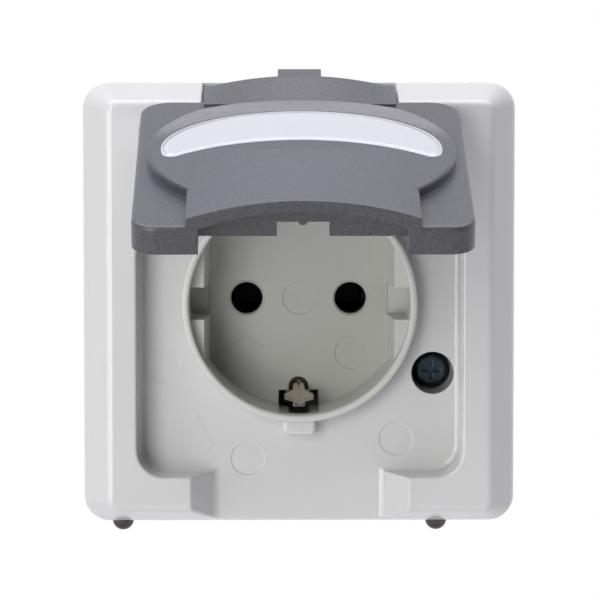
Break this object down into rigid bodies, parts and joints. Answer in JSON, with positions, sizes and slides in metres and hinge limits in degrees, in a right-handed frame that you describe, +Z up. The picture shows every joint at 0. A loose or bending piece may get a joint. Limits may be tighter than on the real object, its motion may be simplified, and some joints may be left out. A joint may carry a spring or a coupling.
{
  "type": "earthed socket outlet with hinged lid",
  "caption": "Square splash-proof socket outlet for a flush wall box: light grey frame, round earthed plug well, and a slate grey hinged lid with a label window and finger arch.",
  "frame": {"origin": "middle of the plug well on the wall plane, at the centre of the two box-screw slots", "axes": "+Z up, +X to the right seen from the front, the front faces -Y and the wall lies at Y = 0"},
  "size_m": [0.0778, 0.1053, 0.0836],
  "materials": {
    "cover_plastic": "glossy light grey moulded thermoplastic",
    "insert_plastic": "satin light grey moulded thermoplastic",
    "base_plastic": "black moulded thermoset",
    "plate_plastic": "grey moulded thermoplastic",
    "lid_plastic": "fine-grained slate grey moulded thermoplastic",
    "clear_window": "clear moulded polycarbonate",
    "label_card": "white card",
    "seal_rubber": "soft moulded rubber",
    "zinc_steel": "bright zinc-plated steel",
    "blued_steel": "dark blue-passivated steel",
    "nickel_strip": "nickel-plated spring strip",
    "brass_strip": "bright brass strip"
  },
  "bodies": {
    "socket": {"cover_frame": "cover_plastic", "socket_collar": "insert_plastic", "contact_face": "insert_plastic", "contact_base": "base_plastic", "base_rear_cover": "base_plastic", "line_contact_left": "brass_strip", "line_contact_right": "brass_strip", "terminal_screws": "zinc_steel", "earth_strip": "nickel_strip", "earth_screw": "zinc_steel", "rear_cover_screws": "zinc_steel", "collar_seal": "seal_rubber", "support_ring": "zinc_steel", "ring_rivets": "zinc_steel", "wall_gasket": "seal_rubber", "seal_plate": "plate_plastic", "cover_screws": "blued_steel", "screw_washers": "seal_rubber", "locking_screws": "blued_steel", "hinge_pin": "zinc_steel", "detent_spring": "nickel_strip"},
    "lid": {"lid_shell": "lid_plastic", "label_window": "clear_window", "label_card": "label_card", "lid_seal": "seal_rubber"}
  },
  "joints": [
    {"name": "lid_hinge", "type": "hinge", "parent": "socket", "child": "lid", "pos_m": [0, -0.0125, 0.0342], "axis": [-1, 0, 0], "range_deg": [-70.5, 19.5]}
  ]
}
